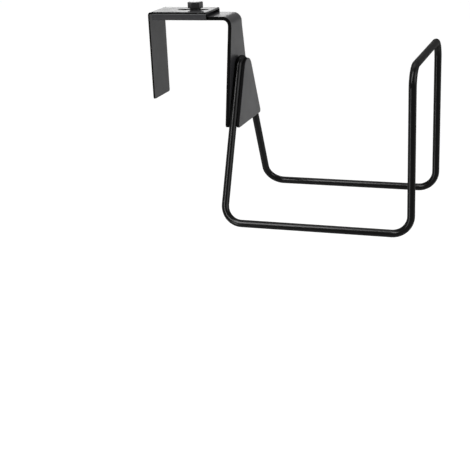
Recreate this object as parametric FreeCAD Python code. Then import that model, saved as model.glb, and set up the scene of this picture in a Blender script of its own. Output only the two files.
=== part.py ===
import FreeCAD, Part
import math
import os

# Hose hanger that hooks over a rail, in millimetres, +Z up.
# The origin is the rail seat: a point on the tongue's underside, midway across it.
# +X points away from the rail, towards the hose. The hanger is symmetrical about Y = 0.

# Driving dimensions: wire cradle, all to the wire's centreline
wire_diameter = 6.0
cradle_width = 124.0  # between the two base wires
cradle_depth = 151.0  # from the down wires to the stop wires
cradle_drop = 154.0  # from the rail seat down to the base wires
stop_height = 128.0  # from the base wires up to the crossbar
wire_bend_radius = 15.0
arch_radius = 9.5
arch_drop = 33.0  # from the rail seat down to the top of the arch

# Driving dimensions: front bracket, a thick strap bent once
strap_thickness = 3.0
strap_bend_radius = 4.0  # inside the bend
strap_corner_radius = 2.5
strap_edge_break = 0.4
tongue_width = 28.0
seat_setback = 18.0  # from the front leg's rail side back to the origin
flare_drop = 6.0  # from the rail seat down to where the leg starts to flare
flare_round = 15.0
leg_drop = 84.0  # from the rail seat down to the leg's bottom edge
leg_bottom_width = 62.0

# Driving dimensions: cover plate over the wire's arch
plate_thickness = 2.5
plate_overlap = 0.8  # past the wire's centreline, so that the plate's flat bears on the wire
plate_corner_radius = 2.0
plate_edge_break = 0.4

# Driving dimensions: rear hook, a thin sheet with a channel that takes the tongue
sheet_thickness = 1.5
sheet_bend_radius = 0.8  # inside the bends
sheet_corner_radius = 1.5
rail_gap = 66.0  # between the two legs
hook_drop = 65.0  # from the rail seat down to the rear leg's bottom edge
tongue_show = 17.0  # from the front leg's rail side back to the channel's end
tongue_end_clearance = 4.0  # from the rear leg to the tongue's end, with the hook pushed right in
channel_side_clearance = 1.2
channel_seat_clearance = 0.4  # from the rail seat up to the walls' lower edges
bend_relief = 1.3  # from the rear bend to the side walls

# Driving dimensions: clamp screw and the tapped collar it screws into
screw_setback = 32.0  # from the front leg's rail side back to the screw's axis
thread_diameter = 6.0
thread_clearance = 0.05
thread_tip_chamfer = 0.6
thread_tip_clearance = 0.5  # from the rail seat up to the thread's tip
collar_diameter = 11.0
collar_height = 2.2
shoulder_diameter = 9.2
shoulder_height = 1.4
head_across_flats = 11.0
head_height = 5.2
head_chamfer = 0.3  # from the flats in to the top's round edge
head_chamfer_angle = 30.0  # degrees
head_turn = -10.0  # degrees
slot_clearance = 0.3
slot_end_web = 3.7  # sheet left between the slot and the channel's end
slide_stop_clearance = 1.0  # from the channel's end to the strap's bend, with the hook pushed right in

# Places that follow from the driving dimensions
leg_inner_x = seat_setback
leg_outer_x = leg_inner_x + strap_thickness
wire_x = leg_outer_x + wire_diameter / 2
plate_inner_x = leg_outer_x + wire_diameter
stop_x = wire_x + cradle_depth
base_z = -cradle_drop
crossbar_z = base_z + stop_height
screw_x = leg_inner_x - screw_setback
hook_inner_x = leg_inner_x - rail_gap
hook_outer_x = hook_inner_x - sheet_thickness
channel_end_x = leg_inner_x - tongue_show
slot_radius = thread_diameter / 2 + slot_clearance
close_travel = tongue_show - strap_bend_radius - slide_stop_clearance
open_travel = channel_end_x - slot_end_web - slot_radius - screw_x
tongue_end_x = hook_inner_x + close_travel + tongue_end_clearance
web_under_z = strap_thickness + collar_height
web_top_z = web_under_z + sheet_thickness
channel_inner_width = tongue_width + 2 * channel_side_clearance
channel_outer_width = channel_inner_width + 2 * sheet_thickness
ALONG_X = FreeCAD.Vector(1, 0, 0)
ALONG_Y = FreeCAD.Vector(0, 1, 0)
ALONG_Z = FreeCAD.Vector(0, 0, 1)


def point(x, y, z):
    return FreeCAD.Vector(x, y, z)


def rounded_route(corners, closed):
    """Edges through (point, radius) corners: straight runs, with a tangent arc wherever there is a radius."""
    count = len(corners)
    entries = []
    exits = []
    arcs = []
    for index, (corner, radius) in enumerate(corners):
        before = corners[(index - 1) % count][0]
        after = corners[(index + 1) % count][0]
        is_end = not closed and index in (0, count - 1)
        if is_end or radius == 0:
            entries.append(corner)
            exits.append(corner)
            arcs.append(None)
            continue
        towards = (corner - before).normalize()
        away = (after - corner).normalize()
        half_turn = towards.getAngle(away) / 2
        setback = radius * math.tan(half_turn)
        inwards = (away - towards).normalize()
        middle = corner + inwards * (radius / math.cos(half_turn) - radius)
        entries.append(corner - towards * setback)
        exits.append(corner + away * setback)
        arcs.append(Part.Arc(entries[-1], middle, exits[-1]).toShape())
    edges = []
    for index in range(count):
        if arcs[index]:
            edges.append(arcs[index])
        following = (index + 1) % count
        is_last = index == count - 1
        if is_last and not closed:
            break
        if exits[index].distanceToPoint(entries[following]) > 1e-6:
            edges.append(Part.LineSegment(exits[index], entries[following]).toShape())
    return edges


def plate(corners, thickness):
    """A closed outline, given as (point, radius) corners, made into a plate of this thickness."""
    return Part.Face(Part.Wire(rounded_route(corners, True))).extrude(thickness)


def post(diameter, bottom_z, top_z):
    """An upright cylinder on the clamp screw's axis."""
    return Part.makeCylinder(diameter / 2, top_z - bottom_z, point(screw_x, 0, bottom_z), ALONG_Z)


def edges_on(shape, axis, places):
    """The edges of a shape that lie wholly at one of these places along an axis."""
    found = []
    for edge in shape.Edges:
        box = edge.BoundBox
        low = (box.XMin, box.YMin, box.ZMin)[axis]
        high = (box.XMax, box.YMax, box.ZMax)[axis]
        if any(abs(low - place) < 1e-4 and abs(high - place) < 1e-4 for place in places):
            found.append(edge)
    return found


def down_wire_slope():
    """Sideways run per unit of drop of a down wire, from the arch's circle to the base corner."""
    half_width = cradle_width / 2
    centre_height = cradle_drop - arch_drop - arch_radius
    to_centre = math.atan2(half_width, centre_height)
    to_tangent = math.asin(arch_radius / math.hypot(half_width, centre_height))
    return math.tan(to_centre - to_tangent)


def wire_cradle():
    """One round wire in a closed loop: half is swept from the arch to the crossbar, half is its mirror."""
    half_width = cradle_width / 2
    lean = math.atan(down_wire_slope())
    touch_y = arch_radius * math.cos(lean)
    touch_z = -arch_drop - arch_radius + arch_radius * math.sin(lean)
    arch_top = point(wire_x, 0, -arch_drop)
    half_lean = (math.pi / 2 + lean) / 2
    arch_middle_y = arch_radius * math.cos(half_lean)
    arch_middle_z = -arch_drop - arch_radius + arch_radius * math.sin(half_lean)
    arch_middle = point(wire_x, arch_middle_y, arch_middle_z)
    arch_end = point(wire_x, touch_y, touch_z)
    arch = Part.Arc(arch_top, arch_middle, arch_end).toShape()
    corners = [
        (arch_end, 0),
        (point(wire_x, half_width, base_z), wire_bend_radius),
        (point(stop_x, half_width, base_z), wire_bend_radius),
        (point(stop_x, half_width, crossbar_z), wire_bend_radius),
        (point(stop_x, 0, crossbar_z), 0),
    ]
    route = Part.Wire([arch] + rounded_route(corners, False))
    section = Part.Wire(Part.makeCircle(wire_diameter / 2, arch_top, ALONG_Y))
    half = route.makePipeShell([section], True, False)
    loop = half.fuse(half.mirror(point(0, 0, 0), ALONG_Y)).removeSplitter()
    expected = math.pi * wire_diameter ** 2 / 4 * route.Length * 2
    print("wire length", round(route.Length * 2, 1), "volume ratio", round(loop.Volume / expected, 5))
    return loop


def front_bracket():
    """The strap's side profile across its widest width, trimmed to the tongue and the flared leg."""
    side = [
        (point(tongue_end_x, 0, 0), 0),
        (point(leg_inner_x, 0, 0), strap_bend_radius),
        (point(leg_inner_x, 0, -leg_drop), 0),
        (point(leg_outer_x, 0, -leg_drop), 0),
        (point(leg_outer_x, 0, strap_thickness), strap_bend_radius + strap_thickness),
        (point(tongue_end_x, 0, strap_thickness), 0),
    ]
    blank_width = max(leg_bottom_width, tongue_width)
    strap = plate(side, ALONG_Y * blank_width)
    strap.translate(ALONG_Y * (-blank_width / 2))
    half_top = tongue_width / 2
    half_bottom = leg_bottom_width / 2
    front = [
        (point(tongue_end_x, -half_top, strap_thickness), 0),
        (point(tongue_end_x, -half_top, -flare_drop), flare_round),
        (point(tongue_end_x, -half_bottom, -leg_drop), strap_corner_radius),
        (point(tongue_end_x, half_bottom, -leg_drop), strap_corner_radius),
        (point(tongue_end_x, half_top, -flare_drop), flare_round),
        (point(tongue_end_x, half_top, strap_thickness), 0),
    ]
    strap = strap.common(plate(front, ALONG_X * (leg_outer_x - tongue_end_x)))
    sides = edges_on(strap, 1, [-half_top, half_top])
    end_corners = [edge for edge in sides if edges_on(edge, 0, [tongue_end_x])]
    strap = strap.makeFillet(strap_corner_radius, end_corners)
    faces_x = edges_on(strap, 0, [leg_inner_x, leg_outer_x])
    strap = strap.makeChamfer(strap_edge_break, faces_x + edges_on(strap, 2, [0, strap_thickness]))
    collar = post(collar_diameter, strap_thickness, web_under_z)
    hole = post(thread_diameter + 2 * thread_clearance, 0, web_under_z)
    return strap.fuse(collar).cut(hole)


def cover_plate():
    """A plate over the wire's arch: its sides and round top follow the wire, just past its centreline."""
    slope = down_wire_slope()
    lean = math.atan(slope)
    top_radius = arch_radius + plate_overlap
    apex_z = -arch_drop - arch_radius + top_radius / math.sin(lean)
    half_bottom = (apex_z + leg_drop) * slope
    outline = [
        (point(plate_inner_x, 0, apex_z), top_radius),
        (point(plate_inner_x, half_bottom, -leg_drop), plate_corner_radius),
        (point(plate_inner_x, -half_bottom, -leg_drop), plate_corner_radius),
    ]
    cover = plate(outline, ALONG_X * plate_thickness)
    rims = edges_on(cover, 0, [plate_inner_x, plate_inner_x + plate_thickness])
    return cover.makeChamfer(plate_edge_break, rims)


def rear_hook():
    """A folded sheet: rear leg and short web from one bend, then the channel that the tongue slides in."""
    outer_bend = sheet_bend_radius + sheet_thickness
    channel_start_x = hook_inner_x + sheet_bend_radius + bend_relief
    half_width = channel_outer_width / 2
    side = [
        (point(channel_start_x, -half_width, web_under_z), 0),
        (point(hook_inner_x, -half_width, web_under_z), sheet_bend_radius),
        (point(hook_inner_x, -half_width, -hook_drop), 0),
        (point(hook_outer_x, -half_width, -hook_drop), 0),
        (point(hook_outer_x, -half_width, web_top_z), outer_bend),
        (point(channel_start_x, -half_width, web_top_z), 0),
    ]
    leg = plate(side, ALONG_Y * channel_outer_width)
    sides = edges_on(leg, 1, [-half_width, half_width])
    bottom_corners = [edge for edge in sides if edges_on(edge, 2, [-hook_drop])]
    leg = leg.makeFillet(sheet_corner_radius, bottom_corners)
    half_inner = channel_inner_width / 2
    section = [
        (point(channel_start_x, -half_width, channel_seat_clearance), 0),
        (point(channel_start_x, -half_width, web_top_z), outer_bend),
        (point(channel_start_x, half_width, web_top_z), outer_bend),
        (point(channel_start_x, half_width, channel_seat_clearance), 0),
        (point(channel_start_x, half_inner, channel_seat_clearance), 0),
        (point(channel_start_x, half_inner, web_under_z), sheet_bend_radius),
        (point(channel_start_x, -half_inner, web_under_z), sheet_bend_radius),
        (point(channel_start_x, -half_inner, channel_seat_clearance), 0),
    ]
    channel = plate(section, ALONG_X * (channel_end_x - channel_start_x))
    slot_start_x = screw_x - close_travel - slot_radius
    slot_end_x = screw_x + open_travel + slot_radius
    slot_outline = [
        (point(slot_start_x, -slot_radius, web_under_z), slot_radius),
        (point(slot_end_x, -slot_radius, web_under_z), slot_radius),
        (point(slot_end_x, slot_radius, web_under_z), slot_radius),
        (point(slot_start_x, slot_radius, web_under_z), slot_radius),
    ]
    slot = plate(slot_outline, ALONG_Z * sheet_thickness)
    return leg.fuse(channel).cut(slot).removeSplitter()


def clamp_screw():
    """A hex head with a chamfered top on a round shoulder, over a plain shank in place of the thread."""
    shoulder_top_z = web_top_z + shoulder_height
    corner_radius = head_across_flats / 2 / math.cos(math.pi / 6)
    angles = [math.radians(head_turn + 30 + 60 * side) for side in range(6)]
    hexagon = [
        (point(screw_x + corner_radius * math.cos(angle), corner_radius * math.sin(angle), shoulder_top_z), 0)
        for angle in angles
    ]
    head = plate(hexagon, ALONG_Z * head_height)
    top_radius = head_across_flats / 2 - head_chamfer
    base_radius = top_radius + head_height / math.tan(math.radians(head_chamfer_angle))
    cone = Part.makeCone(base_radius, top_radius, head_height, point(screw_x, 0, shoulder_top_z), ALONG_Z)
    head = head.common(cone)
    shoulder = post(shoulder_diameter, web_top_z, shoulder_top_z)
    shank = post(thread_diameter, thread_tip_clearance, web_top_z)
    shank = shank.makeChamfer(thread_tip_chamfer, edges_on(shank, 2, [thread_tip_clearance]))
    return head.fuse([shoulder, shank]).removeSplitter()


pieces = {
    "front_bracket": front_bracket(),
    "rear_hook": rear_hook(),
    "clamp_screw": clamp_screw(),
    "wire_cradle": wire_cradle(),
    "cover_plate": cover_plate(),
}
os.makedirs("parts", exist_ok=True)
print("slide travel: close", round(close_travel, 2), "open", round(open_travel, 2))
for name, solid in pieces.items():
    box = solid.optimalBoundingBox()
    print(name, "solids", len(solid.Solids), "valid", solid.isValid(), "volume", round(solid.Volume, 1))
    print("  x", round(box.XMin, 2), round(box.XMax, 2), "y", round(box.YMin, 2), round(box.YMax, 2),
          "z", round(box.ZMin, 2), round(box.ZMax, 2))
    solid.exportStep(os.path.join("parts", name + ".step"))
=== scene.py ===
# %% [markdown]
# # A wire hanger that hooks over a rail
# The hanger is a steel clamp that carries a bent wire. A thick strap lies across the rail and hangs down
# its front, a thin folded sheet hooks behind the rail, and one screw clamps the two at the width of the
# rail. A closed loop of round wire is held between the strap's leg and a cover plate, and carries the
# load.
#
# The imported CAD model is loaded first, as a fixed frame in metres, and its box is kept. Its box is
# kept, because no visible piece may reach outside it. All sizes below are in millimetres and turn into
# metres where a mesh is made.

# %% Load the frame
import math
import bmesh
import bpy
import numpy as np
from mathutils import Matrix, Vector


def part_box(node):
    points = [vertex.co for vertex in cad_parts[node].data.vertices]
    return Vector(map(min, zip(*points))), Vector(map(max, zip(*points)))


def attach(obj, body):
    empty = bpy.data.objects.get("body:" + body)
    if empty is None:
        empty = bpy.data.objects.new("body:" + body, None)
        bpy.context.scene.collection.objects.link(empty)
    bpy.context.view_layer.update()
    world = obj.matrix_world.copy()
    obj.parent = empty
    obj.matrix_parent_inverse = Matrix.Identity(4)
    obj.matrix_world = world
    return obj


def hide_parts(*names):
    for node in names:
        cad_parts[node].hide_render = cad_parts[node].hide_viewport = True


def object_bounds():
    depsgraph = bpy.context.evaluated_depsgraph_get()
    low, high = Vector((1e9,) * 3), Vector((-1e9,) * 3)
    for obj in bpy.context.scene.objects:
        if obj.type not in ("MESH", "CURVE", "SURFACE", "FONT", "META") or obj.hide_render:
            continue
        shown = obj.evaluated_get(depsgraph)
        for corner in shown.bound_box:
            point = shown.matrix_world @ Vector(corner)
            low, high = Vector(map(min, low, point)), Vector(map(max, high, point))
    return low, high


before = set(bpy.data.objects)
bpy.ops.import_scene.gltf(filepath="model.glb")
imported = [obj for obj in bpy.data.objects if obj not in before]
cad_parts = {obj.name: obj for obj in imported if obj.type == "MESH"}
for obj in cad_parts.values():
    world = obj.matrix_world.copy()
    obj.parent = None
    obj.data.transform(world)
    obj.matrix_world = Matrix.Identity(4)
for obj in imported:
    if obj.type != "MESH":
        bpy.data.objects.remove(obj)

MM = 0.001
cad_box = [list(corner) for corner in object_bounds()]
print("CAD box in mm:", np.round(np.array(cad_box) / MM, 2).tolist())

# %% [markdown]
# ## From a grid of points to a piece
# Every piece is a surface worked out as a grid: two parameters go in, and an array of points comes out.
# Numpy numbers the points and lists the four corners of every cell at once. Points that fall on the same
# place are welded, which closes seams, poles and slits, and a closed shape then has its faces turned
# outwards.

# %% Grid helpers
WELD = 1e-7


def grid_quads(numbers):
    """The four corner numbers of every cell in a grid of point numbers: down a row, then across a column."""
    corners = [numbers[:-1, :-1], numbers[1:, :-1], numbers[1:, 1:], numbers[:-1, 1:]]
    return np.stack(corners, -1).reshape(-1, 4)


def make_piece(name, points, quads, closed):
    """A smooth mesh object from points in millimetres, welded, and with outward faces if it is closed."""
    mesh = bpy.data.meshes.new(name)
    mesh.from_pydata((points.reshape(-1, 3) * MM).tolist(), [], quads.tolist())
    work = bmesh.new()
    work.from_mesh(mesh)
    bmesh.ops.remove_doubles(work, verts=work.verts, dist=WELD)
    if closed:
        bmesh.ops.recalc_face_normals(work, faces=work.faces)
    work.to_mesh(mesh)
    work.free()
    mesh.shade_smooth()
    piece = bpy.data.objects.new(name, mesh)
    bpy.context.scene.collection.objects.link(piece)
    return piece


def settle(piece, node, body):
    """Hides the CAD node that a piece replaces, ties the piece to its body, and prints how their boxes
    differ.
    """
    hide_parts(node)
    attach(piece, body)
    view = piece.evaluated_get(bpy.context.evaluated_depsgraph_get())
    shape = view.to_mesh()
    places = np.empty(len(shape.vertices) * 3, np.float32)
    shape.vertices.foreach_get("co", places)
    places = places.reshape(-1, 3)
    low, high = (np.array(corner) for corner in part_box(node))
    print(piece.name, "faces", len(shape.polygons), "low and high corners off the CAD's, mm:",
          np.round((places.min(0) - low) / MM, 2), np.round((places.max(0) - high) / MM, 2))
    view.to_mesh_clear()


print("cells of a 3 by 4 grid:", len(grid_quads(np.arange(12).reshape(3, 4))))

# %% [markdown]
# ## Rounded corners
# Wire is bent over a former and sheet is cut with rounded corners, so nearly every line on the hanger is
# a chain of straight runs and arcs. A curve object with handles could draw it, but the arcs would only
# be near to round. Here each corner of a closed polygon becomes an exact arc, for all corners in one go.

# %% Round the corners of a polygon


def unit(vectors):
    """The same directions with a length of 1: each vector divided by the root of the sum of its squares."""
    return vectors / np.linalg.norm(vectors, axis=-1, keepdims=True)


def round_corners(corners, radii, steps):
    """Arcs that round a closed polygon: points, headings and bend axes, one row for each corner.

    The directions into and out of a corner are a and b. The line turns there by 2h, where cos 2h = a . b.
    The arc's centre is r / cos h inside the corner. With m from the centre to the corner and l along
    a + b, the points are centre + r (cos t m + sin t l) for t from -h to h, and the heading is
    cos t l - sin t m.
    """
    corners = np.asarray(corners, float)
    radii = np.asarray(radii, float)
    into = unit(corners - np.roll(corners, 1, axis=0))
    out = unit(np.roll(corners, -1, axis=0) - corners)
    half = np.arccos((into * out).sum(-1)) / 2
    outward = unit(into - out)[:, None]
    along = unit(into + out)[:, None]
    centre = corners[:, None] - outward * (radii / np.cos(half))[:, None, None]
    turn = (half[:, None] * np.linspace(-1, 1, steps + 1))[..., None]
    points = centre + radii[:, None, None] * (np.cos(turn) * outward + np.sin(turn) * along)
    heading = np.cos(turn) * along - np.sin(turn) * outward
    axis = np.broadcast_to(unit(np.cross(into, out))[:, None], points.shape)
    return points, heading, axis


square = round_corners([(0, 0, 0), (9, 0, 0), (9, 9, 0), (0, 9, 0)], [2, 2, 2, 2], 4)[0]
print("a square of 9 with corners of 2 is rounded to", square.shape, "points")

# %% [markdown]
# ## The wire cradle
# One round steel wire, 6 mm thick, is bent into a closed loop: an arch behind the cover plate, two
# splayed down wires, two base wires that carry the load, two upright stop wires, and a crossbar between
# them. A bevelled curve would do, but its rings twist where the loop leaves one plane for another.
# Instead a circle is carried along the loop, and its guide is each bend's own axis, which turns evenly
# along the straight runs. Its radius is a hundredth under 3 mm, because the flat facets of the CAD's
# wire lie just inside the true circle.

# %% Route of the wire
wire_radius = 2.99
wire_x = 24.0
half_cradle = 62.0
stop_x = 175.0
base_z = -154.0
crossbar_z = -26.0
arch_top_z = -33.0
arch_radius = 9.5
wire_bend = 15.0
arch_centre_z = arch_top_z - arch_radius
arch_fall = arch_centre_z - base_z
lean = math.atan2(half_cradle, arch_fall) - math.asin(arch_radius / math.hypot(half_cradle, arch_fall))
apex_z = arch_centre_z + arch_radius / math.sin(lean)
wire_corners = [
    (wire_x, 0, apex_z),
    (wire_x, half_cradle, base_z),
    (stop_x, half_cradle, base_z),
    (stop_x, half_cradle, crossbar_z),
    (stop_x, -half_cradle, crossbar_z),
    (stop_x, -half_cradle, base_z),
    (wire_x, -half_cradle, base_z),
]
wire_arcs = round_corners(wire_corners, [arch_radius] + [wire_bend] * 6, steps=24)
print("the down wires lean by", round(math.degrees(lean), 2), "degrees")

# %% [markdown]
# ## From a route to a round wire
# Straight runs join the arcs, and a circle travels along the whole loop. Rings every few millimetres on
# the runs let the guide turn slowly from one bend's axis to the next, so the tube never twists. In a
# bend the rings lie closer together, because only many short cells look round there.

# %% Sweep the wire


def fill_runs(arcs, spacing):
    """Points, headings and axes along the whole loop: the arcs, and even steps on the runs."""
    keys = np.concatenate(arcs, -1).reshape(-1, 9)
    keys = np.vstack([keys, keys[:1]])
    travel = np.concatenate([[0], np.cumsum(np.linalg.norm(np.diff(keys[:, :3], axis=0), axis=1))])
    wanted = np.union1d(travel, np.arange(0, travel[-1], spacing))
    shortest = spacing / 50
    wanted = wanted[np.append(np.diff(wanted) > shortest, True)]
    return np.stack([np.interp(wanted, travel, column) for column in keys.T], -1)[:-1]


def sweep_circle(loop, radius, sides):
    """A tube along a loop: p = c + r (cos t g + sin t T x g), with heading T and guide g square to it."""
    centre, heading, guide = loop[:, None, 0:3], unit(loop[:, None, 3:6]), loop[:, None, 6:9]
    guide = unit(guide - heading * (guide * heading).sum(-1, keepdims=True))
    angle = (np.arange(sides) * 2 * math.pi / sides)[None, :, None]
    return centre + radius * (np.cos(angle) * guide + np.sin(angle) * np.cross(heading, guide))


wire_loop = fill_runs(wire_arcs, spacing=4.0)
wire_points = sweep_circle(wire_loop, wire_radius, sides=40)
wire_numbers = np.arange(wire_points[..., 0].size).reshape(wire_points.shape[:2])
wire_numbers = np.pad(wire_numbers, ((0, 1), (0, 1)), mode="wrap")
wire_cradle = make_piece("wire_cradle_bent", wire_points, grid_quads(wire_numbers), closed=True)
settle(wire_cradle, "wire_cradle", "bracket")

# %% [markdown]
# ## Sheet metal
# The strap, the hook and the cover plate are cut from flat sheet, and their cut edges are a little
# rounded by the tumbling and the coating. Each one is made as a single skin, its outer face. Solidify
# puts the sheet's thickness behind the skin, as evenly round a bend as the real sheet has it, and Bevel
# rounds the edges.

# %% Give a skin its thickness


def thicken(piece, thickness, edge):
    """Turns a skin into sheet metal of this thickness, with cut edges of this radius."""
    sheet = piece.modifiers.new("Sheet thickness", "SOLIDIFY")
    sheet.thickness = thickness * MM
    sheet.offset = -1
    sheet.use_even_offset = True
    sheet.use_quality_normals = True
    rounded = piece.modifiers.new("Cut edges", "BEVEL")
    rounded.width = edge * MM
    rounded.segments = 3
    rounded.limit_method = "ANGLE"
    rounded.angle_limit = math.radians(50)
    rounded.use_clamp_overlap = False
    rounded.harden_normals = True


def split_columns(inner, outer, shares):
    """Places across a sheet, on both sides of its middle: from a slit or hole out to the side."""
    side = inner[:, None] + (outer - inner)[:, None] * np.asarray(shares)
    return np.concatenate([-side[:, ::-1], side], 1)


def split_quads(shape):
    """Cells of a grid that is slit down its middle: where the slit has no width, the weld closes it."""
    numbers = np.arange(shape[0] * shape[1]).reshape(shape[:2])
    middle = shape[1] // 2
    return np.vstack([grid_quads(numbers[:, :middle]), grid_quads(numbers[:, middle:])])


print("sheet helpers are ready")

# %% [markdown]
# ## The front bracket
# A 3 mm strap, bent once. Its tongue lies across the rail and its leg flares on the way down. The blank
# is laid out flat first, as half-widths along its length, with a hole for the screw as a slit that opens
# to a circle. One function then bends the flat blank, which is how a press makes the real one.

# %% Blank of the front bracket
tongue_end_x = -32.0
half_tongue = 14.0
strap_thickness = 3.0
bend_x = 14.0
bend_z = -4.0
bend_outer = 7.0
flare_z = -6.0
leg_bottom_z = -84.0
half_leg_bottom = 31.0
strap_corner = 2.5
flare_round = 15.0
screw_x = -14.0
hole_radius = 3.05
bend_start = bend_x - tongue_end_x
bend_end = bend_start + bend_outer * math.pi / 2
blank_end = bend_end + bend_z - leg_bottom_z
flare_start = bend_end + bend_z - flare_z
blank = [
    (0, -half_tongue, 0),
    (0, half_tongue, 0),
    (flare_start, half_tongue, 0),
    (blank_end, half_leg_bottom, 0),
    (blank_end, -half_leg_bottom, 0),
    (flare_start, -half_tongue, 0),
]
blank_radii = [strap_corner, strap_corner, flare_round, strap_corner, strap_corner, flare_round]
blank_edge = round_corners(blank, blank_radii, steps=10)[0][1:4].reshape(-1, 3)
print("the strap's blank is", round(blank_end, 1), "mm long")

# %% [markdown]
# ## Bending the strap
# A place on the blank is so far along the strap and so far across it. Bending keeps the place across and
# wraps the length round a quarter circle. Rows crowd together at the hole, at the rounded corners and in
# the bend, and are few where the strap is flat. Columns run from the slit to the side, so one of them is
# the rim of the hole.

# %% Bend the front bracket


def bend_strap(along, across):
    """Wraps a flat blank round the bend: straight, an arc of the bend's outer radius, straight down."""
    angle = np.clip((along - bend_start) / bend_outer, 0, math.pi / 2)
    before = np.minimum(along - bend_start, 0)
    after = np.maximum(along - bend_end, 0)
    x = bend_x + before + bend_outer * np.sin(angle)
    z = bend_z - after + bend_outer * np.cos(angle)
    return np.stack([np.broadcast_to(x, across.shape), across, np.broadcast_to(z, across.shape)], -1)


hole_place = screw_x - tongue_end_x
strap_rows = np.concatenate([
    blank_edge[:, 0],
    hole_place + hole_radius * np.cos(np.linspace(0, math.pi, 21)),
    np.linspace(bend_start, bend_end, 17),
    np.linspace(4, hole_place - 5, 3),
    np.linspace(hole_place + 5, bend_start - 4, 4),
    np.linspace(flare_start + 6, blank_end - 7, 12),
])
strap_rows = np.unique(np.round(strap_rows, 6))
strap_hole = np.sqrt(np.maximum(hole_radius ** 2 - (strap_rows - hole_place) ** 2, 0))
strap_width = np.interp(strap_rows, blank_edge[:, 0], blank_edge[:, 1])
strap_across = split_columns(strap_hole, strap_width, [0, 0.3, 0.6, 0.85, 1])
strap_points = bend_strap(strap_rows[:, None], strap_across)
strap_quads = split_quads(strap_points.shape)
front_bracket = make_piece("front_bracket_strap", strap_points, strap_quads, closed=False)
thicken(front_bracket, strap_thickness, edge=0.5)
settle(front_bracket, "front_bracket", "bracket")

# %% [markdown]
# ## The tapped collar
# The hole in the tongue is drawn up into a collar, so that the thread has enough metal to hold on. It is
# a small ring turned about the screw's axis: a closed profile of radius and height, carried round a
# circle. A hair of room is left above it, and below the screw's shoulder, because the hook's web slides
# between the two.

# %% Turn the collar


def turn_profile(radius, height, angles):
    """Carries a profile round the screw's axis: (screw_x + r cos t, r sin t, z) for each angle."""
    x = screw_x + radius * np.cos(angles)
    y = radius * np.sin(angles)
    return np.stack([x, y, np.broadcast_to(height, x.shape)], -1)


web_under_z = 5.2
slide_gap = 0.02
collar_top_z = web_under_z - slide_gap
collar_radius = 5.5
collar_sides = 72
collar_profile = np.array([
    (hole_radius, strap_thickness),
    (collar_radius, strap_thickness),
    (collar_radius, collar_top_z - 0.3),
    (5.41, collar_top_z - 0.09),
    (5.2, collar_top_z),
    (3.35, collar_top_z),
    (3.14, collar_top_z - 0.09),
    (hole_radius, collar_top_z - 0.3),
])
round_angles = np.arange(collar_sides) * 2 * math.pi / collar_sides
collar_points = turn_profile(collar_profile[:, :1], collar_profile[:, 1:], round_angles)
collar_numbers = np.arange(collar_points[..., 0].size).reshape(-1, collar_sides)
collar_numbers = np.pad(collar_numbers, ((0, 1), (0, 1)), mode="wrap")
tapped_collar = make_piece("tapped_collar", collar_points, grid_quads(collar_numbers), closed=True)
tapped_collar.data.set_sharp_from_angle(angle=math.radians(50))
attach(tapped_collar, "bracket")
print("the collar stands", round(collar_top_z - strap_thickness, 2), "mm above the tongue")

# %% [markdown]
# ## The cover plate
# A flat plate lies over the wire's arch and is welded to it, and its sides and round top follow the
# wire. Rows from side to side would crowd into one point at the top. So the outline itself is the first
# row: it shrinks in steps to a point in the middle of the plate, and its second ring, close to the
# first, keeps the edge crisp.

# %% Cover plate
plate_outer_x = 29.5
plate_thickness = 2.5
plate_top_radius = 10.3
plate_apex_z = arch_centre_z + plate_top_radius / math.sin(lean)
half_plate_bottom = (plate_apex_z - leg_bottom_z) * math.tan(lean)
plate_corners = [
    (plate_outer_x, 0, plate_apex_z),
    (plate_outer_x, half_plate_bottom, leg_bottom_z),
    (plate_outer_x, -half_plate_bottom, leg_bottom_z),
]
plate_radii = [plate_top_radius, 2, 2]
plate_edge = fill_runs(round_corners(plate_corners, plate_radii, steps=16), spacing=3.0)[:, :3]
plate_middle = np.array([plate_outer_x, 0, (arch_centre_z + leg_bottom_z) / 2])
plate_shares = np.array([1, 0.94, 0.7, 0.35, 0])[:, None, None]
plate_points = plate_middle + (plate_edge - plate_middle) * plate_shares
plate_numbers = np.arange(plate_points[..., 0].size).reshape(plate_points.shape[:2])
plate_numbers = np.pad(plate_numbers, ((0, 0), (0, 1)), mode="wrap")
cover_plate = make_piece("cover_plate_sheet", plate_points, grid_quads(plate_numbers), closed=False)
thicken(cover_plate, plate_thickness, edge=0.5)
settle(cover_plate, "cover_plate", "bracket")

# %% [markdown]
# ## The rear hook
# A 1.5 mm sheet, folded three times: its leg hangs behind the rail, its web runs forward over the
# tongue, and two walls fold down beside the tongue and make a channel of the web. The slot in the web
# lets the clamp slide along the screw. Two skins make it, the leg with its bend and the channel. They
# share the web's width and weld there, and beside that they part, as the folded sheet does at its bend
# reliefs.

# %% Sizes of the rear hook
sheet_thickness = 1.5
sheet_outer = 2.3
hook_outer_x = -49.5
hook_bottom_z = -65.0
hook_corner = 1.5
half_channel = 16.7
half_web = half_channel - sheet_outer
web_top_z = web_under_z + sheet_thickness
fold_z = web_top_z - sheet_outer
channel_start_x = -45.9
channel_end_x = 1.0
wall_bottom_z = 0.4
slot_start_x = -29.3
slot_end_x = -2.7
slot_half = 3.3
relief_cut = 0.5
relief_x = channel_start_x - relief_cut
web_shares = [0, 0.35, 0.7, 1]
print("the channel is", round(channel_end_x - channel_start_x, 1), "mm long")

# %% [markdown]
# ## The hook's leg
# The leg stands straight behind the rail and bends a quarter turn into the web. Its rows climb from the
# bottom edge, which has rounded corners, to the line where the web goes on. Its columns are those of the
# web, and one more on each side, because the leg is as wide as the channel is outside.

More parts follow.
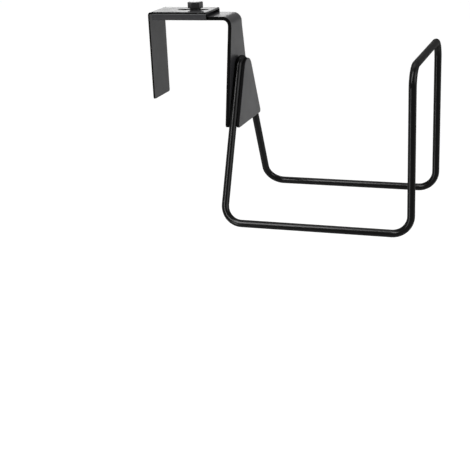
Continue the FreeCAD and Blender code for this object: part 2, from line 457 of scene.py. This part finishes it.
# %% Leg of the rear hook
quarter = np.linspace(0, math.pi / 2, 11)
straight_rows = 12
corner_rise = hook_corner * (1 - np.cos(quarter))
leg_x = np.concatenate([
    np.full(quarter.size + straight_rows, hook_outer_x),
    hook_outer_x + sheet_outer * (1 - np.cos(quarter)),
    [relief_x],
])
leg_z = np.concatenate([
    hook_bottom_z + corner_rise,
    np.linspace(hook_bottom_z + 5, fold_z - 4, straight_rows),
    fold_z + sheet_outer * np.sin(quarter),
    [web_top_z],
])
leg_half = np.full(leg_z.shape, half_channel)
leg_half[:quarter.size] = half_channel - hook_corner + hook_corner * np.sin(quarter)
leg_across = split_columns(np.zeros(leg_z.shape), np.full(leg_z.shape, half_web), web_shares)
leg_across = np.concatenate([-leg_half[:, None], leg_across, leg_half[:, None]], 1)
leg_points = np.stack(np.broadcast_arrays(leg_x[:, None], leg_across, leg_z[:, None]), -1)
print("leg rows and columns:", leg_across.shape)

# %% [markdown]
# ## The hook's channel
# The channel's rows run along the web, and its columns go up one wall, over the web and down the other
# wall. The slot is a slit once more, opened to straight sides with round ends. The walls start one row
# later than the web, which leaves a narrow cut beside the leg: a real sheet is cut there too, so that
# each wall folds on its own.

# %% Channel of the rear hook
slot_left = slot_start_x + slot_half * (1 - np.cos(quarter))
slot_right = slot_end_x - slot_half * (1 - np.cos(quarter[::-1]))
channel_x = np.concatenate([
    [relief_x, channel_start_x, -42, -38, -34],
    slot_left,
    np.linspace(slot_left[-1], slot_right[0], 5)[1:-1],
    slot_right,
    [-0.6, channel_end_x],
])
past_end = np.maximum(np.maximum(slot_left[-1] - channel_x, channel_x - slot_right[0]), 0)
slot_open = np.sqrt(np.maximum(slot_half ** 2 - past_end ** 2, 0))
web_across = split_columns(slot_open, np.full(channel_x.shape, half_web), web_shares)
wall_y = np.append(half_web + sheet_outer * np.sin(quarter[1:]), [half_channel, half_channel])
wall_z = np.append(fold_z + sheet_outer * np.cos(quarter[1:]), [2.4, wall_bottom_z])
wall_y = np.repeat(wall_y[None], channel_x.size, 0)
wall_z = np.repeat(wall_z[None], channel_x.size, 0)
wall_y[0] = half_web
wall_z[0] = web_top_z
channel_across = np.concatenate([-wall_y[:, ::-1], web_across, wall_y], 1)
channel_z = np.concatenate([wall_z[:, ::-1], np.full(web_across.shape, web_top_z), wall_z], 1)
channel_points = np.stack(np.broadcast_arrays(channel_x[:, None], channel_across, channel_z), -1)
print("channel rows and columns:", channel_across.shape)

# %% [markdown]
# ## One folded sheet
# Both skins go into one mesh. The leg's last row and the web's first row lie on the same points, so the
# weld makes them one sheet, and Solidify gives all of it the same thickness at once. Faces are marked
# for the finish of their edges: a painted shade line, in the black edge coat, runs along the middle of the
# two long folds, and the web's front end, which faces the light, keeps the flat sheet's coat.

# %% Join the two skins of the rear hook
hook_points = np.vstack([leg_points.reshape(-1, 3), channel_points.reshape(-1, 3)])
channel_numbers = leg_across.size + np.arange(channel_across.size).reshape(channel_across.shape)
wall_columns = wall_y.shape[1]
centre_column = channel_across.shape[1] // 2
hook_quads = np.vstack([
    split_quads(leg_points.shape),
    grid_quads(channel_numbers[:, wall_columns:centre_column]),
    grid_quads(channel_numbers[:, centre_column:-wall_columns]),
    grid_quads(channel_numbers[1:, :wall_columns + 1]),
    grid_quads(channel_numbers[1:, -wall_columns - 1:]),
])
rear_hook = make_piece("rear_hook_folded", hook_points, hook_quads, closed=False)
thicken(rear_hook, sheet_thickness, edge=0.15)
settle(rear_hook, "rear_hook", "hook")
hook_normals = np.empty(len(rear_hook.data.polygons) * 3, np.float32)
hook_centres = np.empty_like(hook_normals)
rear_hook.data.polygons.foreach_get("normal", hook_normals)
rear_hook.data.polygons.foreach_get("center", hook_centres)
hook_sideways = np.abs(hook_normals[1::3])
# The painted shade line on the folds: faces whose normals lean between 27 and 63 degrees sideways, in the
# middle of each fold.
fold_shade_start = math.sin(math.radians(27))
fold_shade_end = math.sin(math.radians(63))
flat_limit = 0.1
end_strip = 1.5
painted_fold_shade = (hook_sideways > fold_shade_start) & (hook_sideways < fold_shade_end)
at_web_end = (hook_sideways < flat_limit) & (hook_centres[0::3] > (channel_end_x - end_strip) * MM)
print("faces on the fold lines:", int(painted_fold_shade.sum()), "and at the web's end:", int(at_web_end.sum()))

# %% [markdown]
# ## The clamp screw
# A short M6 screw with a hexagon head and a round shoulder under it. All of it is one surface round one
# axis, so its radius is a function of the angle and of the place along the profile. A hexagon is a
# circle whose radius changes with the angle, its chamfer is a cone that takes the corners away, and the
# thread is a ridge whose height turns with the angle. A cylinder with six sides would have neither the
# chamfer nor the thread.

# %% Head and thread as functions
head_flat = 5.5
head_edge = 0.4
head_turn = math.radians(-10)
head_bottom_z = 8.1
head_top_z = 13.3
top_circle = 5.2
chamfer = math.tan(math.radians(30))
thread_pitch = 1.0
thread_crest = 3.0
thread_depth = 0.6
thread_start_z = 0.9
thread_end_z = 6.4
thread_runout = 0.5
crest_flat = 0.125


def hexagon(angles):
    """Radius of a hexagon: flat / cos of the angle from a flat, and a small arc at each corner."""
    off = math.pi / 6 - np.abs((angles - head_turn + math.pi / 6) % (math.pi / 3) - math.pi / 6)
    reach = (head_flat - head_edge) / math.cos(math.pi / 6)
    edge = math.atan2(head_edge / 2, reach + head_edge * math.cos(math.pi / 6))
    arc = reach * np.cos(off) + np.sqrt(np.maximum(head_edge ** 2 - (reach * np.sin(off)) ** 2, 0))
    return np.where(off < edge, arc, head_flat / np.cos(math.pi / 6 - off))


def thread(angles, height):
    """Radius of a thread: a ridge that falls by its depth from crest to root and climbs one pitch a turn."""
    phase = (height / thread_pitch - angles / (2 * math.pi)) % 1
    start = np.clip((height - thread_start_z) / thread_runout, 0, 1)
    end = np.clip((thread_end_z - height) / thread_runout, 0, 1)
    fall = np.clip(np.abs(2 * phase - 1) * (1 + 2 * crest_flat) - crest_flat, 0, 1)
    return thread_crest - thread_depth * (start * end) * fall


corner_reach = float(hexagon(np.array(head_turn + math.pi / 6)))
print("head across flats and corners:", 2 * head_flat, round(2 * corner_reach, 2))

# %% [markdown]
# ## Turning the screw
# As on a lathe, the profile runs from the tip of the thread up to the middle of the head. Each row has a
# height and a radius, which is one number where the screw is round and one for each angle where it is
# not. The thread gets twelve rows a turn, enough for a smooth ridge.

# %% Turn the clamp screw
screw_sides = 144
screw_angles = np.arange(screw_sides) * 2 * math.pi / screw_sides
hexed = hexagon(screw_angles)
rows_a_turn = 12
thread_z = np.arange(1.1, 6.45, thread_pitch / rows_a_turn)
tip_z = 0.5
tip_radius = 2.4
shoulder_z = web_top_z + slide_gap
shoulder_radius = 4.6
shoulder_flat = 4.4
shoulder_edge = 0.2
screw_rows = [
    (0, tip_z),
    (tip_radius, tip_z),
    *((thread(screw_angles, z), z) for z in thread_z),
    (thread_crest, shoulder_z),
    (shoulder_flat, shoulder_z),
    (shoulder_radius, shoulder_z + shoulder_edge),
    (shoulder_radius, head_bottom_z - shoulder_edge),
    (shoulder_flat, head_bottom_z),
    (hexed * 0.96, head_bottom_z),
    (hexed, head_bottom_z + 0.25),
    (hexed, head_top_z - 1.2),
    (hexed, head_top_z - (hexed - top_circle) * chamfer),
    (top_circle, head_top_z),
    (top_circle * 0.5, head_top_z),
    (0, head_top_z),
]
screw_radius = np.stack([np.broadcast_to(radius, screw_angles.shape) for radius, height in screw_rows])
screw_height = np.stack([np.broadcast_to(height, screw_angles.shape) for radius, height in screw_rows])
screw_points = turn_profile(screw_radius, screw_height, screw_angles)
screw_numbers = np.arange(screw_radius.size).reshape(screw_radius.shape)
screw_numbers = np.pad(screw_numbers, ((0, 0), (0, 1)), mode="wrap")
clamp_screw = make_piece("clamp_screw_turned", screw_points, grid_quads(screw_numbers), closed=True)
clamp_screw.data.set_sharp_from_angle(angle=math.radians(28))
settle(clamp_screw, "clamp_screw", "screw")

# %% [markdown]
# ## Finishes
# Colours are written as a screen shows them and turned into light by one function. One more function
# adds a node with its settings, its constants and its links, so that each finish below reads as a short
# list.

# %% Colour and node helpers


def linear(code):
    """Linear red, green, blue and alpha of an sRGB hex colour."""
    channel = np.array([int(code[place:place + 2], 16) for place in (1, 3, 5)]) / 255
    light = np.where(channel <= 0.04045, channel / 12.92, ((channel + 0.055) / 1.055) ** 2.4)
    return (*light.tolist(), 1.0)


def add_node(tree, kind, inputs=None, **settings):
    """Adds a node: settings are its own properties, inputs take constants or other nodes' sockets."""
    node = tree.nodes.new(kind)
    for name, value in settings.items():
        setattr(node, name, value)
    for name, value in (inputs or {}).items():
        if isinstance(value, bpy.types.NodeSocket):
            tree.links.new(value, node.inputs[name])
        else:
            node.inputs[name].default_value = value
    return node


print("mid grey #808080 is", round(linear("#808080")[0], 3), "in linear light")

# %% [markdown]
# ## Powder coat and blackened steel
# Powder coat is a paint baked from dry powder. It lies evenly over sheet and wire and keeps a faint
# orange peel, waves about a millimetre across, that softens each reflection. Cut edges hold less powder,
# and their near-black colour is also painted shade, standing in for the dark that the rounded edges mirror.
# The screw is blackened steel under a film of oil, with no orange peel and a tighter
# gloss. One flat black would be quicker, but real coats have cloudy patches of two close shades. At a
# flat angle the waves hide one another, so the gloss of wire and edges blurs towards the rim, which
# Layer Weight finds.

# %% Make the finishes
patch_mm = 15.0
wave_height_mm = 0.002
patch_low = 0.3
patch_high = 0.7
rough_change = 0.03
rim_start = 0.2
rim_end = 0.6


def dark_finish(name, deep, cloudy, rough, rim_blur, level, wave_mm):
    """A dark coat: two shades in patches, waves that tilt its gloss, and rim_blur to roughen the rim."""
    material = bpy.data.materials.new(name)
    material.use_nodes = True
    tree = material.node_tree
    tree.nodes.clear()
    place = add_node(tree, "ShaderNodeTexCoord").outputs["Object"]
    patch = add_node(tree, "ShaderNodeTexNoise",
                     {"Vector": place, "Scale": 1 / (patch_mm * MM), "Detail": 3.0})
    peel = add_node(tree, "ShaderNodeTexNoise",
                    {"Vector": place, "Scale": 1 / (wave_mm * MM), "Detail": 1.0})
    shade = add_node(tree, "ShaderNodeMix", {0: patch.outputs["Fac"], 6: linear(deep), 7: linear(cloudy)},
                     data_type="RGBA")
    blur = add_node(tree, "ShaderNodeMapRange", {
        "Value": patch.outputs["Fac"], "From Min": patch_low, "From Max": patch_high,
        "To Min": rough - rough_change, "To Max": rough + rough_change,
    })
    if rim_blur:
        facing = add_node(tree, "ShaderNodeLayerWeight", {"Blend": 0.5}).outputs["Facing"]
        rim = add_node(tree, "ShaderNodeMapRange", {
            "Value": facing, "From Min": rim_start, "From Max": rim_end, "To Min": 0.0, "To Max": rim_blur,
        })
        blur = add_node(tree, "ShaderNodeMath", {0: blur.outputs[0], 1: rim.outputs[0]}, operation="ADD")
    waves = add_node(tree, "ShaderNodeBump", {"Height": peel.outputs["Fac"], "Strength": 1.0,
                                              "Distance": wave_height_mm * MM})
    shader = add_node(tree, "ShaderNodeBsdfPrincipled", {
        "Base Color": shade.outputs[2], "Roughness": blur.outputs[0], "Normal": waves.outputs["Normal"],
        "Metallic": 0.0, "IOR": 1.5, "Specular IOR Level": level,
    })
    add_node(tree, "ShaderNodeOutputMaterial", {"Surface": shader.outputs["BSDF"]})
    return material


# On sheet: a dark grey satin, whose flat faces each take on one even tone.
sheet_coat = dark_finish("satin_powder_coat_on_sheet", "#28282A", "#2D2D2E",
                         rough=0.34, rim_blur=0.0, level=0.13, wave_mm=1.2)
# On round wire: nearly black, with a bright line wherever the round side mirrors a lamp.
wire_coat = dark_finish("satin_powder_coat_on_wire", "#030303", "#060606",
                        rough=0.2, rim_blur=0.6, level=0.14, wave_mm=1.2)
# On cut edges and fold lines: a dull, deep black that draws the outline of each sheet. On the edges it is
# part thin coat, part painted shade for the dark that they mirror; on the folds it is a painted shade line.
edge_coat_and_painted_shade = dark_finish("thin_coat_and_painted_shade_on_edges", "#040404", "#080808",
                        rough=0.5, rim_blur=0.3, level=0.02, wave_mm=1.2)
# On the screw: dark facets with a tight gloss, each as bright as what it mirrors.
screw_steel = dark_finish("blackened_screw_steel", "#0C0C0D", "#121213",
                          rough=0.3, rim_blur=0.0, level=0.35, wave_mm=3.0)
for piece, finish in ((front_bracket, sheet_coat), (tapped_collar, sheet_coat), (cover_plate, sheet_coat),
                      (rear_hook, sheet_coat), (wire_cradle, wire_coat), (clamp_screw, screw_steel)):
    piece.data.materials.append(finish)
# Painted shade in part: every rim takes the near-black edge coat, both because sheared edges hold less
# powder and as a stand-in for the dark they mirror.
for piece in (front_bracket, cover_plate, rear_hook):
    piece.data.materials.append(edge_coat_and_painted_shade)
    piece.modifiers["Sheet thickness"].material_offset_rim = 1
rear_hook.data.materials.append(sheet_coat)
# Index 1, the black edge coat, paints a shade line on the folds; index 2 gives the web's lit end the sheet
# coat.
rear_hook.data.polygons.foreach_set("material_index", (painted_fold_shade + 2 * at_web_end).astype(np.int32))
print("finishes:", sheet_coat.name, wire_coat.name, edge_coat_and_painted_shade.name, screw_steel.name)

# %% [markdown]
# ## White studio
# The hanger was shot in the air, against white. A wide floor lies well below it and takes a faint, soft
# shadow, and the world closes the studio above the floor's edge. An even white dome would be simpler,
# but gloss mirrors it, and all the black steel turns grey. So the studio fades: white behind the hanger,
# up to the horizon, and pale grey in front and overhead. Floor and world read it from one function of
# direction, so they meet unseen.

# %% Brightness by direction
pale_grey = 0.5
front_y = -0.5
back_y = 0.35
horizon_z = -0.05
overhead_z = 0.12


def seen_directly(tree):
    """1 for rays from the camera, off a gloss or through a glass, 0 for the soft light on surfaces."""
    rays = add_node(tree, "ShaderNodeLightPath").outputs
    first = add_node(tree, "ShaderNodeMath", {0: rays["Is Camera Ray"], 1: rays["Is Glossy Ray"]},
                     operation="MAXIMUM")
    both = add_node(tree, "ShaderNodeMath", {0: first.outputs[0], 1: rays["Is Transmission Ray"]},
                    operation="MAXIMUM")
    return both.outputs[0]


def studio_level(tree, coordinates):
    """Brightness in each direction (x, y, z) from the hanger: pale + (1 - pale) * s(y) * (1 - s(z)).

    s is a smooth step from 0 to 1: over y it rises from front to back, over z from the horizon up.
    """
    place = add_node(tree, "ShaderNodeTexCoord").outputs[coordinates]
    direction = add_node(tree, "ShaderNodeVectorMath", {0: place}, operation="NORMALIZE").outputs[0]
    parts = add_node(tree, "ShaderNodeSeparateXYZ", {"Vector": direction}).outputs
    behind = add_node(tree, "ShaderNodeMapRange", {
        "Value": parts["Y"], "From Min": front_y, "From Max": back_y, "To Min": 0.0, "To Max": 1 - pale_grey,
    }, interpolation_type="SMOOTHSTEP")
    below = add_node(tree, "ShaderNodeMapRange", {
        "Value": parts["Z"], "From Min": horizon_z, "From Max": overhead_z, "To Min": 1.0, "To Max": 0.0,
    }, interpolation_type="SMOOTHSTEP")
    return add_node(tree, "ShaderNodeMath", {0: behind.outputs[0], 1: below.outputs[0], 2: pale_grey},
                    operation="MULTIPLY_ADD").outputs[0]


print("the studio is", pale_grey, "bright in front and 1 behind")

# %% [markdown]
# ## Floor
# The floor is matt paper. The lamps light it to a mid grey, and a glow that only the camera and the
# gloss can see lifts it to the level of the studio, so the shadow stays but the light on the hanger does
# not change.

# %% Lay the floor
floor_z = -600.0
lit_paper = 0.25
half_floor = 8000
floor_side = np.linspace(-half_floor, half_floor, 9)
floor_points = np.stack(np.broadcast_arrays(floor_side[:, None], floor_side, floor_z), -1)
floor_numbers = np.arange(floor_points[..., 0].size).reshape(floor_points.shape[:2])
floor = make_piece("studio_floor", floor_points, grid_quads(floor_numbers), closed=False)
paper = bpy.data.materials.new("matt_white_paper")
paper.use_nodes = True
tree = paper.node_tree
tree.nodes.clear()
missing = add_node(tree, "ShaderNodeMath", {0: studio_level(tree, "Object"), 1: lit_paper},
                   operation="SUBTRACT")
white = add_node(tree, "ShaderNodeMath", {0: missing.outputs[0], 1: seen_directly(tree)},
                 operation="MULTIPLY")
matt = add_node(tree, "ShaderNodeBsdfDiffuse", {"Color": linear("#A0A0A0")})
glow = add_node(tree, "ShaderNodeEmission", {"Color": linear("#FFFFFF"), "Strength": white.outputs[0]})
lit = add_node(tree, "ShaderNodeAddShader", {0: matt.outputs[0], 1: glow.outputs[0]})
add_node(tree, "ShaderNodeOutputMaterial", {"Surface": lit.outputs[0]})
floor.data.materials.append(paper)
print("the floor lies", round(base_z - wire_radius - floor_z, 2), "mm below the wire")

# %% [markdown]
# ## World
# The world is seen at the level of the studio too, and gives the surfaces a dim, even fill from all
# sides, which keeps the hidden faces from going black.

# %% Close the studio
dim_fill = 0.3
world = bpy.data.worlds.new("fading_white_studio")
bpy.context.scene.world = world
world.use_nodes = True
tree = world.node_tree
tree.nodes.clear()
level = add_node(tree, "ShaderNodeMix",
                 {0: seen_directly(tree), 2: dim_fill, 3: studio_level(tree, "Generated")})
sky = add_node(tree, "ShaderNodeBackground", {"Color": linear("#FFFFFF"), "Strength": level.outputs[0]})
add_node(tree, "ShaderNodeOutputWorld", {"Surface": sky.outputs[0]})
print("the world fills the shadows with", dim_fill)

# %% [markdown]
# ## Lamps
# Black steel shows mostly what it mirrors, so each lamp is placed for the highlight that it draws. A
# tall strip at the front left draws the lines along the base wires, and a small panel below it the lines
# up the stop wires. Far softboxes light the right-hand faces and the top, and a faint one, low behind
# the hanger, glances off the upper faces, which are the brightest in the shot. The near ones are area
# lamps, which light only what is close to them. The far ones are sun lamps with a wide disc, because
# those light all of the hanger alike.

# %% Place the lamps
middle = np.mean(cad_box, 0) / MM


def look_from(azimuth, elevation):
    """Unit vector from the hanger to a lamp or camera: azimuth 0 is in front, at -Y, 90 is at +X."""
    a, e = math.radians(azimuth), math.radians(elevation)
    return np.array([math.sin(a) * math.cos(e), -math.cos(a) * math.cos(e), math.sin(e)])


def aim(azimuth, elevation, roll, place):
    """The matrix that puts a lamp or camera at a place in millimetres, turned against look_from."""
    back = look_from(azimuth, elevation)
    right = np.array([math.cos(math.radians(azimuth)), math.sin(math.radians(azimuth)), 0])
    up = np.cross(back, right)
    c, s = math.cos(math.radians(roll)), math.sin(math.radians(roll))
    columns = np.stack([c * right + s * up, c * up - s * right, back, np.asarray(place) * MM], 1)
    return Matrix(np.vstack([columns, [0, 0, 0, 1]]).tolist())


def place_lamp(name, kind, azimuth, elevation, distance, energy):
    """A lamp of this kind, at a distance in millimetres from the hanger's middle, that faces it."""
    lamp = bpy.data.lights.new(name, kind)
    lamp.energy = energy
    stand = bpy.data.objects.new(name, lamp)
    bpy.context.scene.collection.objects.link(stand)
    stand.matrix_world = aim(azimuth, elevation, 0, middle + look_from(azimuth, elevation) * distance)
    stand.visible_camera = False
    return lamp


# Name, azimuth, elevation, distance in millimetres, watts, width and height in millimetres
near_panels = (
    ("strip_softbox", -24, 44, 1400, 21.0, 250, 1300),
    ("low_softbox", -30, -17, 700, 1.2, 140, 260),
)
for name, azimuth, elevation, distance, watts, width, height in near_panels:
    lamp = place_lamp(name, "AREA", azimuth, elevation, distance, watts)
    lamp.shape = "RECTANGLE"
    lamp.size = width * MM
    lamp.size_y = height * MM

far_distance = 2000
# Name, azimuth, elevation, strength, and the disc's angle
far_softboxes = (
    ("right_softbox", 80, 25, 1.4, 40),
    ("top_softbox", 200, 62, 0.8, 40),
    ("rear_softbox", 200.5, 8, 0.2, 16),
)
for name, azimuth, elevation, strength, spread in far_softboxes:
    lamp = place_lamp(name, "SUN", azimuth, elevation, far_distance, strength)
    lamp.angle = math.radians(spread)
print("near panels:", len(near_panels), "far softboxes:", len(far_softboxes))

# %% [markdown]
# ## Camera
# The camera stands to the right of the hanger's front and a little above it, about 0.9 m away, and is
# rolled by a few degrees. Its place was worked out together with the sizes, from edges measured in the
# shot.

# %% Camera
camera_data = bpy.data.cameras.new("main_camera")
camera_data.sensor_width = 36.0
camera_data.lens = 82.94
camera = bpy.data.objects.new("main_camera", camera_data)
bpy.context.scene.collection.objects.link(camera)
camera_place = (304.92, -839.62, 125.53)
camera.matrix_world = aim(azimuth=19.27, elevation=19.38, roll=-2.58, place=camera_place)
bpy.context.scene.camera = camera
bpy.context.scene.view_settings.view_transform = "Standard"
print("lens", camera_data.lens, "mm on a sensor of", camera_data.sensor_width, "mm")
